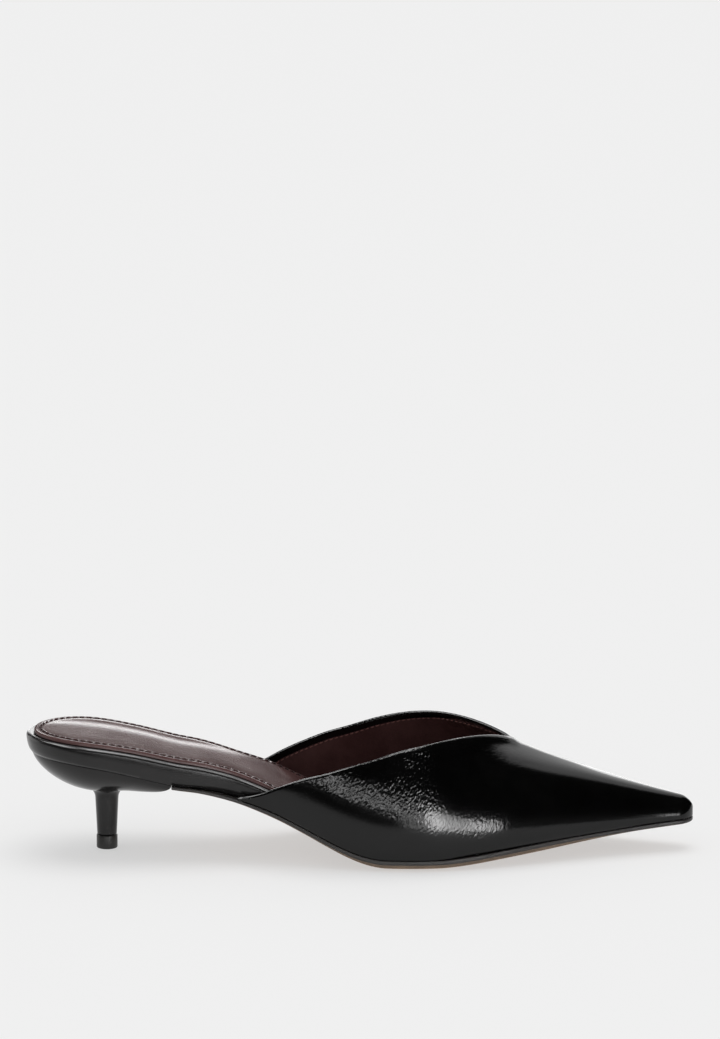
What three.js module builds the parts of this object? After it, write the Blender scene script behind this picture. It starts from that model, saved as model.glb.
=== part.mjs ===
// Kitten heel mule, right shoe, standing empty on the floor.
// Millimetres, +Z up, +X towards the toe, +Y towards the inner (medial) side.
import * as THREE from "three";
import { mergeVertices } from "three/addons/utils/BufferGeometryUtils.js";

// Driving dimensions
const shoeLength = 270;
const ballWidth = 80;
const waistWidth = 47;
const seatWidth = 52;
const breastHeight = 28.3; // floor to the underside of the sole at the heel breast
const toeSpring = 11; // floor to the underside of the sole at the toe tip
const throatHeight = 45.8; // floor to the point of the V throat

// Walls and layers
const upperWall = 1.8;
const outsoleEdge = 2.0; // thickness of the outsole at its edge
const edgeLift = 2.4; // how far the sole's edge lies above its flat middle
const footbedDepth = 11.3; // sole edge to insole surface, where it is deepest
const insoleThickness = 1.2;
const seamGap = 0.3; // clearance between pieces that lie on each other
const wallBulge = 1.4; // how far the side wall swells beyond the sole edge

// Plan details
const backRadius = 29; // depth of the round back of the heel seat
const noseRadius = 5; // depth of the round toe tip
const noseDrop = 0.58; // share of the toe's height that the round tip loses
const soleFlatShare = 0.62; // share of the sole's half width that is flat underneath
const soleTipTurn = 1.37; // how far the sole's sections go round the toe tip, in radians
const swellScale = 6.75; // brings the highest value of t(1 - t)(1 - t) to 1
const footbedToeGap = 16; // toe tip to the front end of the footbed
const rimWidth = 3.1; // footbed rim left bare round the insole
const rimRound = 1.6; // rounding of the footbed's top corner
const footbedTuck = 1.8; // how far the footbed's side falls in towards its lower edge
const flankShare = 0.35; // share of the footbed's height where its side turns upright
const flankInset = 0.45; // how far in the footbed's side still lies at that height
const insoleDish = 1.1; // hollow of the insole across the heel
const insoleTuck = 0.42; // how far the insole's top corner is worn down
const tuckLead = 0.75; // the footbed starts to narrow here, as a share of the way to the wings
const dishReach = 1.2; // the dish ends here, as a share of the way to the wings

// Heel
const breastAt = 59; // back of the shoe to the front face of the heel
const pegAt = 32.4; // back of the shoe to the middle of the peg
const neckHeight = 26.0; // floor to the underside of the heel's bowl
const pegTopRadius = 4.7;
const pegFootRadius = 4.0;
const neckFillet = 5.2;
const tipRadius = 4.25;
const tipHeight = 5.8;
const tipChamfer = 0.5;
const seatInset = 2.3; // heel seat behind the sole's outline
const bowlRoundness = 1.5; // superellipse power of the bowl's profile

// Throat and wings, as shares of the shoe's length
const wingStart = 0.318;
const throatAt = 0.722;

// How finely the pieces are divided
const boardSections = { back: 8, middle: 26, nose: 4, across: 6 };
const soleSections = { middle: 36, nose: 5, rising: 3, top: 4 };
const upperSections = { wing: 24, vamp: 16, nose: 5, across: 11 };
const heelSections = { along: 12, across: 6, bowl: 8, fillet: 4 };
const tipSides = 28;
const normalStep = 0.004; // spacing of the points that a wall's normal is taken from
const weldDistance = 1e-3;
const smallestArea = 1e-6;

// Outline seen from above: half width and sideways shift, as shares of the width named in the row.
const outlineRows = [
  { at: 0.0, of: seatWidth, half: 0.5, shift: 0.0 },
  { at: 0.11, of: seatWidth, half: 0.5, shift: 0.0 },
  { at: 0.16, of: seatWidth, half: 0.487, shift: -0.003 },
  { at: 0.21, of: seatWidth, half: 0.472, shift: -0.007 },
  { at: 0.26, of: waistWidth, half: 0.508, shift: -0.015 },
  { at: 0.31, of: waistWidth, half: 0.51, shift: -0.022 },
  { at: 0.36, of: waistWidth, half: 0.555, shift: -0.028 },
  { at: 0.41, of: ballWidth, half: 0.376, shift: -0.015 },
  { at: 0.47, of: ballWidth, half: 0.441, shift: -0.009 },
  { at: 0.53, of: ballWidth, half: 0.487, shift: -0.003 },
  { at: 0.585, of: ballWidth, half: 0.5, shift: 0.0 },
  { at: 0.64, of: ballWidth, half: 0.483, shift: 0.005 },
  { at: 0.7, of: ballWidth, half: 0.434, shift: 0.011 },
  { at: 0.76, of: ballWidth, half: 0.359, shift: 0.014 },
  { at: 0.82, of: ballWidth, half: 0.274, shift: 0.016 },
  { at: 0.88, of: ballWidth, half: 0.196, shift: 0.016 },
  { at: 0.94, of: ballWidth, half: 0.126, shift: 0.015 },
  { at: 1.0, of: ballWidth, half: 0.066, shift: 0.0125 },
];

// Underside of the sole along its middle, as shares of the height named in the row.
const undersideRows = [
  { at: 0.0, of: breastHeight, rise: 1.35 },
  { at: 0.06, of: breastHeight, rise: 1.312 },
  { at: 0.11, of: breastHeight, rise: 1.243 },
  { at: 0.16, of: breastHeight, rise: 1.138 },
  { at: 0.22, of: breastHeight, rise: 1.0 },
  { at: 0.26, of: breastHeight, rise: 0.94 },
  { at: 0.3, of: breastHeight, rise: 0.845 },
  { at: 0.34, of: breastHeight, rise: 0.72 },
  { at: 0.38, of: breastHeight, rise: 0.57 },
  { at: 0.42, of: breastHeight, rise: 0.39 },
  { at: 0.45, of: breastHeight, rise: 0.25 },
  { at: 0.48, of: breastHeight, rise: 0.125 },
  { at: 0.51, of: breastHeight, rise: 0.035 },
  { at: 0.54, of: breastHeight, rise: 0.0 },
  { at: 0.615, of: toeSpring, rise: 0.0 },
  { at: 0.66, of: toeSpring, rise: 0.07 },
  { at: 0.72, of: toeSpring, rise: 0.25 },
  { at: 0.78, of: toeSpring, rise: 0.43 },
  { at: 0.85, of: toeSpring, rise: 0.63 },
  { at: 0.92, of: toeSpring, rise: 0.82 },
  { at: 1.0, of: toeSpring, rise: 1.0 },
];

// Lift of the sole's edge, as shares of edgeLift, and its thickness, as shares of outsoleEdge:
// the sole is skived thin towards the heel breast.
const edgeRows = [
  { at: 0.0, lift: 0.4, thick: 0.6 },
  { at: 0.22, lift: 0.4, thick: 0.6 },
  { at: 0.3, lift: 0.62, thick: 0.7 },
  { at: 0.38, lift: 0.85, thick: 0.9 },
  { at: 0.46, lift: 1.0, thick: 1.0 },
  { at: 0.62, lift: 1.0, thick: 1.0 },
  { at: 0.7, lift: 0.95, thick: 1.0 },
  { at: 0.78, lift: 0.75, thick: 0.95 },
  { at: 0.86, lift: 0.42, thick: 0.9 },
  { at: 0.94, lift: 0.12, thick: 0.9 },
  { at: 1.0, lift: 0.0, thick: 0.9 },
];

// Insole surface above the sole's edge, as shares of footbedDepth.
const footbedRows = [
  { at: 0.0, depth: 0.82 },
  { at: 0.06, depth: 0.86 },
  { at: 0.11, depth: 0.92 },
  { at: 0.16, depth: 0.98 },
  { at: 0.21, depth: 1.0 },
  { at: 0.26, depth: 0.955 },
  { at: 0.31, depth: 0.895 },
  { at: 0.36, depth: 0.845 },
  { at: 0.42, depth: 0.68 },
  { at: 0.5, depth: 0.53 },
  { at: 0.6, depth: 0.465 },
  { at: 0.75, depth: 0.39 },
  { at: 1.0, depth: 0.28 },
];

// Ridge of the last, as shares of throatHeight, with the roundness of its cross-section.
const ridgeRows = [
  { at: 0.31, ridge: 1.718, power: 2.6 },
  { at: 0.41, ridge: 1.666, power: 2.6 },
  { at: 0.485, ridge: 1.585, power: 2.6 },
  { at: 0.555, ridge: 1.44, power: 2.6 },
  { at: 0.61, ridge: 1.293, power: 2.58 },
  { at: 0.65, ridge: 1.18, power: 2.52 },
  { at: 0.722, ridge: 1.0, power: 2.4 },
  { at: 0.774, ridge: 0.871, power: 2.3 },
  { at: 0.826, ridge: 0.759, power: 2.2 },
  { at: 0.878, ridge: 0.655, power: 2.15 },
  { at: 0.93, ridge: 0.562, power: 2.1 },
  { at: 0.98, ridge: 0.482, power: 2.05 },
  { at: 1.0, ridge: 0.452, power: 2.0 },
];

// Topline: where the wall ends, from 1 at the sole edge to 0 at the ridge. The wall stands a
// little higher on the inner side.
const toplineRows = [
  { at: 0.318, outer: 0.997, inner: 0.997 },
  { at: 0.335, outer: 0.985, inner: 0.98 },
  { at: 0.356, outer: 0.958, inner: 0.949 },
  { at: 0.377, outer: 0.919, inner: 0.907 },
  { at: 0.413, outer: 0.846, inner: 0.834 },
  { at: 0.449, outer: 0.778, inner: 0.763 },
  { at: 0.485, outer: 0.706, inner: 0.699 },
  { at: 0.521, outer: 0.634, inner: 0.625 },
  { at: 0.557, outer: 0.553, inner: 0.549 },
  { at: 0.593, outer: 0.464, inner: 0.458 },
  { at: 0.629, outer: 0.346, inner: 0.34 },
  { at: 0.665, outer: 0.206, inner: 0.196 },
  { at: 0.683, outer: 0.136, inner: 0.132 },
  { at: 0.701, outer: 0.07, inner: 0.07 },
  { at: 0.722, outer: 0.0, inner: 0.0 },
];

// A smooth curve through one column of a table, read at a share of the shoe's length.
// A row that names a size holds its value as a share of that size.
function column(rows, name) {
  const at = rows.map((row) => row.at);
  const value = rows.map((row) => row[name] * (row.of ?? 1));
  const slope = at.slice(1).map((end, i) => (value[i + 1] - value[i]) / (end - at[i]));
  const tangent = at.map((_, i) => {
    const before = slope[Math.max(i - 1, 0)];
    const after = slope[Math.min(i, slope.length - 1)];
    if (before * after <= 0) return 0;
    const limit = 3 * Math.min(Math.abs(before), Math.abs(after));
    return Math.sign(before) * Math.min(Math.abs(before + after) / 2, limit);
  });
  return (share) => {
    const s = THREE.MathUtils.clamp(share, at[0], at[at.length - 1]);
    const i = Math.min(at.findLastIndex((start) => start <= s), slope.length - 1);
    const span = at[i + 1] - at[i];
    const t = (s - at[i]) / span;
    const fall = (1 + 2 * t) * (1 - t) ** 2;
    const bend = t * (1 - t) ** 2 * tangent[i] - t * t * (1 - t) * tangent[i + 1];
    return fall * value[i] + (1 - fall) * value[i + 1] + bend * span;
  };
}

const halfWidthAt = column(outlineRows, "half");
const shiftAt = column(outlineRows, "shift");
const undersideAt = column(undersideRows, "rise");
const liftAt = column(edgeRows, "lift");
const thickAt = column(edgeRows, "thick");
const depthAt = column(footbedRows, "depth");
const ridgeAt = column(ridgeRows, "ridge");
const powerAt = column(ridgeRows, "power");
const outerToplineAt = column(toplineRows, "outer");
const innerToplineAt = column(toplineRows, "inner");

// Narrows a piece to a round end: 1 along its length, 0 where it starts and where it stops.
function roundEnds(x, start, end) {
  const back = Math.max((backRadius - x) / (backRadius - start), 0);
  const nose = Math.max((x - end + noseRadius) / noseRadius, 0);
  return Math.sqrt(Math.max(1 - back * back, 0) * Math.max(1 - nose * nose, 0));
}

// Half width of the sole's outline.
const outline = (x) => halfWidthAt(x / shoeLength) * roundEnds(x, 0, shoeLength);

const shift = (x) => shiftAt(x / shoeLength);
const skived = (x) => outsoleEdge * (1 - thickAt(x / shoeLength));
const soleMiddle = (x) => undersideAt(x / shoeLength) + skived(x);
const soleEdgeUnder = (x) => soleMiddle(x) + edgeLift * liftAt(x / shoeLength);
const soleTop = (x) => soleEdgeUnder(x) + outsoleEdge - skived(x);
const insoleTop = (x) => soleTop(x) + footbedDepth * depthAt(x / shoeLength);
const footbedTop = (x) => insoleTop(x) - insoleThickness - seamGap;

// Evenly spaced numbers from start to end.
function steps(start, end, count) {
  return Array.from({ length: count + 1 }, (_, i) => start + ((end - start) * i) / count);
}

// Stations along a board with a round back and a round toe, gathered towards both ends.
function roundStations(start, end) {
  const back = steps(0, Math.PI / 2, boardSections.back).map(
    (a) => backRadius - (backRadius - start) * Math.cos(a),
  );
  const middle = steps(backRadius, end - noseRadius, boardSections.middle).slice(1, -1);
  const nose = steps(0, Math.PI / 2, boardSections.nose).map(
    (a) => end - noseRadius + noseRadius * Math.sin(a),
  );
  return [...back, ...middle, ...nose];
}

// Collects triangles as positions and turns them into one closed, outward facing geometry.
class Skin {
  constructor() {
    this.positions = [];
  }
  triangle(a, b, c) {
    const area = new THREE.Vector3().crossVectors(b.clone().sub(a), c.clone().sub(a)).length();
    if (area > smallestArea) this.positions.push(...a, ...b, ...c);
  }
  // A grid of rows of points, joined by two triangles a cell.
  sheet(rows, flip = false) {
    for (let i = 0; i + 1 < rows.length; i += 1) {
      for (let j = 0; j + 1 < rows[i].length; j += 1) {
        const [a, b, c, d] = [rows[i][j], rows[i + 1][j], rows[i + 1][j + 1], rows[i][j + 1]];
        if (flip) {
          this.triangle(a, c, b);
          this.triangle(a, d, c);
        } else {
          this.triangle(a, b, c);
          this.triangle(a, c, d);
        }
      }
    }
  }
  // A fan that closes a ring about its middle.
  fan(ring, flip = false) {
    const middle = new THREE.Vector3();
    ring.forEach((point) => middle.addScaledVector(point, 1 / ring.length));
    ring.forEach((point, i) => {
      const next = ring[(i + 1) % ring.length];
      if (flip) this.triangle(middle, point, next);
      else this.triangle(middle, next, point);
    });
  }
  geometry() {
    const geometry = new THREE.BufferGeometry();
    geometry.setAttribute("position", new THREE.Float32BufferAttribute(this.positions, 3));
    return mergeVertices(geometry, weldDistance);
  }
}

// Cross-section of the sole: flat middle, lifted edges, level top.
function outsoleRing(x) {
  const half = outline(x);
  const rising = steps(soleFlatShare, 1, soleSections.rising);
  const under = [...rising.map((share) => -share).reverse(), 0, ...rising].map((share) => {
    const past = Math.max(Math.abs(share) - soleFlatShare, 0) / (1 - soleFlatShare);
    const z = soleMiddle(x) + (soleEdgeUnder(x) - soleMiddle(x)) * past ** 2;
    return new THREE.Vector3(x, shift(x) + half * share, z);
  });
  const top = steps(1, -1, soleSections.top).map(
    (share) => new THREE.Vector3(x, shift(x) + half * share, soleTop(x)),
  );
  return [...under, ...top];
}

// The outsole runs from the heel breast to the toe tip, where it stops at a narrow face.
function outsoleGeometry() {
  const stations = [
    ...steps(breastAt + seamGap, shoeLength - noseRadius, soleSections.middle),
    ...steps(0, soleTipTurn, soleSections.nose)
      .slice(1)
      .map((a) => shoeLength - noseRadius + noseRadius * Math.sin(a)),
  ];
  const rings = stations.map(outsoleRing);
  const skin = new Skin();
  skin.sheet(rings.map((ring) => [...ring, ring[0]]), true);
  skin.fan(rings[0]);
  skin.fan(rings[rings.length - 1], true);
  return skin.geometry();
}

// The footbed keeps the sole's outline behind the wings and goes inside the upper's wall ahead.
const upperStart = wingStart * shoeLength;
const footbedEnd = shoeLength - footbedToeGap;
const insideUpper = (x) =>
  THREE.MathUtils.smoothstep(x, tuckLead * upperStart, upperStart) * (upperWall + seamGap);

// The insole's hollow, deepest across the heel and gone beyond the wings' points.
const dishAt = (x) =>
  insoleDish * (1 - THREE.MathUtils.smoothstep(x, breastAt, dishReach * upperStart));

// A board with a round back and toe, built up in levels from its underside to its top face. Each
// level has its inset from the footbed's outline and its height as a function of x. The top face
// is hollowed by the dish.
function board(levels) {
  const skin = new Skin();
  const across = steps(-1, 1, boardSections.across);
  const grid = ({ inset, height }, hollow) =>
    roundStations(inset, footbedEnd - inset).map((x) => {
      const ends = roundEnds(x, inset, footbedEnd - inset);
      const half = (halfWidthAt(x / shoeLength) - insideUpper(x) - inset) * ends;
      const dish = hollow ? dishAt(x) * ends ** 2 : 0;
      return across.map((share) => {
        const z = height(x) - dish * (1 - share ** 2);
        return new THREE.Vector3(x, shift(x) + half * share, z);
      });
    });
  const grids = levels.map((level) => grid(level, level.hollow));
  skin.sheet(grids[0], true);
  skin.sheet(grids[grids.length - 1]);
  skin.sheet(grids.map((rows) => rows.map((row) => row[0])), true);
  skin.sheet(grids.map((rows) => rows.map((row) => row[across.length - 1])));
  return skin.geometry();
}

function footbedGeometry() {
  const low = (x) => soleTop(x) + seamGap;
  const share = (x, t) => low(x) + (footbedTop(x) - low(x)) * t;
  const corner = rimRound * (1 - Math.SQRT1_2);
  return board([
    { inset: footbedTuck, height: low },
    { inset: flankInset, height: (x) => share(x, flankShare) },
    { inset: 0, height: (x) => footbedTop(x) - rimRound },
    { inset: corner, height: (x) => footbedTop(x) - corner },
    { inset: rimRound, height: footbedTop, hollow: true },
  ]);
}

// The insole lies inside the footbed's rim.
function insoleGeometry() {
  const top = (x) => footbedTop(x) + seamGap + insoleThickness;
  return board([
    { inset: rimWidth, height: (x) => footbedTop(x) + seamGap, hollow: true },
    { inset: rimWidth, height: (x) => top(x) - insoleTuck },
    { inset: rimWidth + insoleTuck, height: top, hollow: true },
  ]);
}

// A point of the last's side and instep. Across runs from -1 at the outer sole edge, over 0 at
// the ridge, to 1 at the inner sole edge. Along runs to 1 where the round nose starts and then
// turns through a right angle.
const upperStraight = shoeLength - noseRadius - upperStart;
function lastPoint(along, across) {
  const turn = Math.max(along - 1, 0);
  const x = upperStart + upperStraight * Math.min(along, 1) + noseRadius * Math.sin(turn);
  const share = x / shoeLength;
  const narrow = Math.cos(turn);
  const low = soleTop(x) + seamGap;
  const height = (ridgeAt(share) * throatHeight - low) * (1 - noseDrop * (1 - narrow));
  const angle = (Math.abs(across) * Math.PI) / 2;
  const power = 2 / powerAt(share);
  const up = Math.cos(angle) ** power;
  const out = Math.sin(angle) ** power;
  const swell = wallBulge * Math.min(1, (2 * height) / ballWidth) * swellScale * up * (1 - up) ** 2;
  const side = (halfWidthAt(share) * out + swell) * narrow;
  return new THREE.Vector3(x, shift(x) + Math.sign(across) * side, low + height * up);
}

// The same point moved inwards by the wall.
function lastInside(along, across) {
  const point = lastPoint(along, across);
  const normal = new THREE.Vector3(1, 0, 0);
  if (along < 1 + Math.PI / 2 - normalStep) {
    const ahead = lastPoint(along + normalStep, across);
    const behind = lastPoint(Math.max(along - normalStep, 0), across);
    const inner = lastPoint(along, Math.min(across + normalStep, 1));
    const outer = lastPoint(along, Math.max(across - normalStep, -1));
    normal.crossVectors(ahead.sub(behind), inner.sub(outer)).normalize();
  }
  return point.addScaledVector(normal, -upperWall);
}

function upperGeometry() {
  const skin = new Skin();
  const throat = (throatAt * shoeLength - upperStart) / upperStraight;
  const wingSteps = steps(0, throat, upperSections.wing);
  const vampSteps = steps(throat, 1, upperSections.vamp).slice(1);
  const noseSteps = steps(1, 1 + Math.PI / 2, upperSections.nose).slice(1);
  const along = [...wingSteps, ...vampSteps, ...noseSteps];
  const columns = upperSections.across;
  const topline = (s, side) => {
    if (s >= throat) return 0;
    const share = (upperStart + upperStraight * s) / shoeLength;
    return side * (side < 0 ? outerToplineAt(share) : innerToplineAt(share));
  };
  for (const side of [-1, 1]) {
    const flip = side > 0;
    const outer = along.map((s) =>
      steps(side, topline(s, side), columns).map((across) => lastPoint(s, across)),
    );
    const inner = along.map((s) =>
      steps(side, topline(s, side), columns).map((across) => lastInside(s, across)),
    );
    skin.sheet(outer, flip);
    skin.sheet(inner, !flip);
    skin.sheet(outer.map((row, i) => [row[0], inner[i][0]]), !flip);
    const lip = wingSteps.map((_, i) => [outer[i][columns], inner[i][columns]]);
    skin.sheet(lip, flip);
    skin.sheet([outer[0], inner[0]], !flip);
  }
  return skin.geometry();
}

// The heel: a seat under the footbed, a bowl drawn in to the neck, a fillet and the peg.
function heelGeometry() {
  const skin = new Skin();
  const across = heelSections.across;
  const seatHalf = (x) =>
    (halfWidthAt(x / shoeLength) - seatInset) * roundEnds(x, seatInset, shoeLength);
  const stations = steps(0, Math.PI, heelSections.along).map(
    (a) => seatInset + ((breastAt - seatInset) * (1 + Math.cos(a))) / 2,
  );
  const seat = stations.map((x) =>
    steps(-1, 1, across).map(
      (share) => new THREE.Vector3(x, shift(x) + share * seatHalf(x), soleTop(x)),
    ),
  );
  const outer = seat.map((row) => row[0]);
  const inner = seat.map((row) => row[across]).reverse();
  const breast = seat[0].slice(1, across).reverse();
  const ring = [...outer, ...inner.slice(1), ...breast];
  const angles = ring.map((point) => Math.atan2(point.y, point.x - pegAt));
  const pegRing = (radius, z) =>
    angles.map((a) => new THREE.Vector3(pegAt + radius * Math.cos(a), radius * Math.sin(a), z));
  const neckRadius = pegTopRadius + neckFillet;
  const neck = pegRing(neckRadius, neckHeight);
  const bowl = steps(0, Math.PI / 2, heelSections.bowl).map((a) => {
    const reach = Math.max(Math.cos(a), 0) ** (2 / bowlRoundness);
    const fall = Math.sin(a) ** (2 / bowlRoundness);
    return ring.map((point, i) => {
      const flat = neck[i].clone().lerp(point, reach);
      flat.z = point.z + (neckHeight - point.z) * fall;
      return flat;
    });
  });
  const fillet = steps(0, Math.PI / 2, heelSections.fillet)
    .slice(1)
    .map((a) =>
      pegRing(neckRadius - neckFillet * Math.sin(a), neckHeight - neckFillet * (1 - Math.cos(a))),
    );
  const peg = pegRing(pegFootRadius, tipHeight + seamGap);
  const rings = [...bowl, ...fillet, peg];
  skin.sheet(rings.map((row) => [...row, row[0]]), true);
  skin.sheet(seat, true);
  skin.fan(peg, true);
  return skin.geometry();
}

function heelTipGeometry() {
  const profile = [
    new THREE.Vector2(0, 0),
    new THREE.Vector2(tipRadius - tipChamfer, 0),
    new THREE.Vector2(tipRadius, tipChamfer),
    new THREE.Vector2(tipRadius, tipHeight),
    new THREE.Vector2(0, tipHeight),
  ];
  const geometry = new THREE.LatheGeometry(profile, tipSides);
  geometry.rotateX(Math.PI / 2);
  geometry.translate(pegAt, 0, 0);
  return geometry;
}

const finish = (color, roughness) =>
  new THREE.MeshStandardMaterial({ color, roughness, metalness: 0 });

const pieces = [
  ["outsole", outsoleGeometry(), finish(0x15120f, 0.45)],
  ["heel", heelGeometry(), finish(0x0c0c0d, 0.15)],
  ["heel_tip", heelTipGeometry(), finish(0x141414, 0.6)],
  ["footbed", footbedGeometry(), finish(0x17171a, 0.35)],
  ["insole", insoleGeometry(), finish(0x4a3433, 0.4)],
  ["upper", upperGeometry(), finish(0x0a0a0b, 0.2)],
];

const mule = new THREE.Group();
for (const [name, geometry, material] of pieces) {
  const mesh = new THREE.Mesh(geometry, material);
  mesh.name = name;
  mule.add(mesh);
}

// The origin is on the floor, under the middle of the whole shoe.
const reach = new THREE.Box3().setFromObject(mule);
mule.position.set(-(reach.min.x + reach.max.x) / 2, -(reach.min.y + reach.max.y) / 2, -reach.min.z);

export default mule;
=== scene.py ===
import bisect
import functools
import math

import bmesh
import bpy
from mathutils import Matrix, Vector


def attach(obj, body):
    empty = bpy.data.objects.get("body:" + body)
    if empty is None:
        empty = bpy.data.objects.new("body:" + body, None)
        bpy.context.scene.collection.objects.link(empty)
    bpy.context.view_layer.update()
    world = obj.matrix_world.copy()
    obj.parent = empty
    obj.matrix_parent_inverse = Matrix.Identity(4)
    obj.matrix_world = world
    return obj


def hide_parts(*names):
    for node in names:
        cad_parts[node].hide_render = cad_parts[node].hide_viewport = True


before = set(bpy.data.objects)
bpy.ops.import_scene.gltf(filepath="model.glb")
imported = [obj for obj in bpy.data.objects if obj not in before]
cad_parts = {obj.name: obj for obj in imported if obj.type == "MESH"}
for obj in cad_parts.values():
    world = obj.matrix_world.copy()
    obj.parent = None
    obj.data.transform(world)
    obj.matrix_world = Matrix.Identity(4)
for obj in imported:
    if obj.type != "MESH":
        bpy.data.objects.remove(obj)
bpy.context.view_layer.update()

# The shoe's own sizes, in millimetres from the back of the shoe. The mesh is put in metres.
MM = 0.001
SHOE_LENGTH = 270.0
SHOE_MIDDLE = 135.0
BALL_WIDTH, WAIST_WIDTH, SEAT_WIDTH = 80.0, 47.0, 52.0
BREAST_HEIGHT, TOE_SPRING, THROAT_HEIGHT = 28.3, 11.0, 45.8
UPPER_WALL, SEAM_GAP, WALL_BULGE = 1.8, 0.3, 1.4
OUTSOLE_EDGE, EDGE_LIFT = 2.0, 2.4
FOOTBED_DEPTH, INSOLE_THICKNESS, INSOLE_DISH = 11.3, 1.2, 1.4
BACK_RADIUS, NOSE_RADIUS, NOSE_DROP = 29.0, 5.0, 0.58
SOLE_FLAT_SHARE = 0.62
FOOTBED_END = SHOE_LENGTH - 16.0
RIM_WIDTH, RIM_ROUND, FOOTBED_TUCK = 3.1, 1.6, 1.8
BREAST_AT, PEG_AT, NECK_HEIGHT = 59.0, 32.4, 26.0
PEG_TOP, PEG_FOOT, NECK_FILLET = 4.7, 4.0, 5.2
TIP_RADIUS, TIP_HEIGHT = 4.25, 5.8
SEAT_INSET, BOWL_ROUNDNESS = 2.3, 1.5
BREAST_FULLNESS, BREAST_REACH = 0.24, 14  # the bowl is fuller over its end at the breast
WING_START, THROAT_AT = 0.318, 0.722

FOLD_RADIUS = 0.9  # the topline fold is as thick as the wall
FOLD_BAND = 2.2  # the leather turned in behind the topline
THROAT_PROUD = 0.7  # how far the folds stand up at the point of the throat
SIDE_LENGTH = 55.0  # over the side from the ridge to the sole's edge, near the throat
THROAT_TUCK, TUCK_REACH = 2.2, 0.3  # how far the leather falls away beside the throat
TUCK_GROWS, TUCK_FADES = (160, 184), (188, 236)
FOOT_SHARE, FOOT_DRAWN_IN = 0.02, 0.25  # the wall's foot, drawn in where it meets the sole
LEATHER = 0.5
LINING_DEPTH, LINING_THICKNESS, LINING_START = 1.5, 0.4, 0.03
LINING_OVERLAP = 0.3  # how far the lining reaches under the band turned in behind the topline
STITCH_INSET = 2.6  # insole edge to its stitch line
SEAM_START, SEAM_SHORT = 0.05, {1: 0.004, -1: 0.064}  # the lining's seams, short of the throat
SEAM_BELOW_BAND, SEAM_PROUD = 0.75, 0.08
SHADED_STRIP_GROWS, SHADED_STRIP_FADES = (104, 150), (205, 250)
SHADED_STRIP_START, SHADED_STRIP_DEPTH = 0.12, 1.3  # sole leather that shows below the waxed edge, its tan darkened as painted shade

# Half width and sideways shift of the outline, as shares of the width named in the row.
OUTLINE = [
    (0.0, SEAT_WIDTH, 0.5, 0.0),
    (0.11, SEAT_WIDTH, 0.5, 0.0),
    (0.16, SEAT_WIDTH, 0.487, -0.003),
    (0.21, SEAT_WIDTH, 0.472, -0.007),
    (0.26, WAIST_WIDTH, 0.508, -0.015),
    (0.31, WAIST_WIDTH, 0.51, -0.022),
    (0.36, WAIST_WIDTH, 0.555, -0.028),
    (0.41, BALL_WIDTH, 0.376, -0.015),
    (0.47, BALL_WIDTH, 0.441, -0.009),
    (0.53, BALL_WIDTH, 0.487, -0.003),
    (0.585, BALL_WIDTH, 0.5, 0.0),
    (0.64, BALL_WIDTH, 0.483, 0.005),
    (0.7, BALL_WIDTH, 0.434, 0.011),
    (0.76, BALL_WIDTH, 0.359, 0.014),
    (0.82, BALL_WIDTH, 0.274, 0.016),
    (0.88, BALL_WIDTH, 0.196, 0.016),
    (0.94, BALL_WIDTH, 0.126, 0.015),
    (1.0, BALL_WIDTH, 0.066, 0.0125),
]

# Underside of the sole along its middle, as shares of the height named in the row.
UNDERSIDE = [
    (0.0, BREAST_HEIGHT, 1.35),
    (0.06, BREAST_HEIGHT, 1.312),
    (0.11, BREAST_HEIGHT, 1.243),
    (0.16, BREAST_HEIGHT, 1.138),
    (0.22, BREAST_HEIGHT, 1.0),
    (0.26, BREAST_HEIGHT, 0.94),
    (0.3, BREAST_HEIGHT, 0.845),
    (0.34, BREAST_HEIGHT, 0.72),
    (0.38, BREAST_HEIGHT, 0.57),
    (0.42, BREAST_HEIGHT, 0.39),
    (0.45, BREAST_HEIGHT, 0.25),
    (0.48, BREAST_HEIGHT, 0.125),
    (0.51, BREAST_HEIGHT, 0.035),
    (0.54, BREAST_HEIGHT, 0.0),
    (0.615, TOE_SPRING, 0.0),
    (0.66, TOE_SPRING, 0.07),
    (0.72, TOE_SPRING, 0.25),
    (0.78, TOE_SPRING, 0.43),
    (0.85, TOE_SPRING, 0.63),
    (0.92, TOE_SPRING, 0.82),
    (1.0, TOE_SPRING, 1.0),
]

# Lift of the sole's edge and its thickness, as shares of EDGE_LIFT and OUTSOLE_EDGE.
SOLE_EDGE = [
    (0.0, 0.4, 0.6),
    (0.22, 0.4, 0.6),
    (0.3, 0.62, 0.7),
    (0.38, 0.85, 0.9),
    (0.46, 1.0, 1.0),
    (0.62, 1.0, 1.0),
    (0.7, 0.95, 1.0),
    (0.78, 0.75, 0.95),
    (0.86, 0.42, 0.9),
    (0.94, 0.12, 0.9),
    (1.0, 0.0, 0.9),
]

# Insole surface above the sole's edge, as shares of FOOTBED_DEPTH.
FOOTBED = [
    (0.0, 0.82),
    (0.06, 0.86),
    (0.11, 0.92),
    (0.16, 0.98),
    (0.21, 1.0),
    (0.26, 0.955),
    (0.31, 0.895),
    (0.36, 0.845),
    (0.42, 0.68),
    (0.5, 0.53),
    (0.6, 0.465),
    (0.75, 0.39),
    (1.0, 0.28),
]

# Ridge of the instep as shares of THROAT_HEIGHT, and the roundness of its cross-section.
RIDGE = [
    (0.31, 1.718, 2.6),
    (0.41, 1.666, 2.6),
    (0.485, 1.585, 2.6),
    (0.555, 1.44, 2.6),
    (0.61, 1.293, 2.58),
    (0.65, 1.18, 2.52),
    (0.722, 1.0, 2.4),
    (0.774, 0.871, 2.3),
    (0.826, 0.759, 2.2),
    (0.878, 0.655, 2.15),
    (0.93, 0.562, 2.1),
    (0.98, 0.482, 2.05),
    (1.0, 0.452, 2.0),
]

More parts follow.
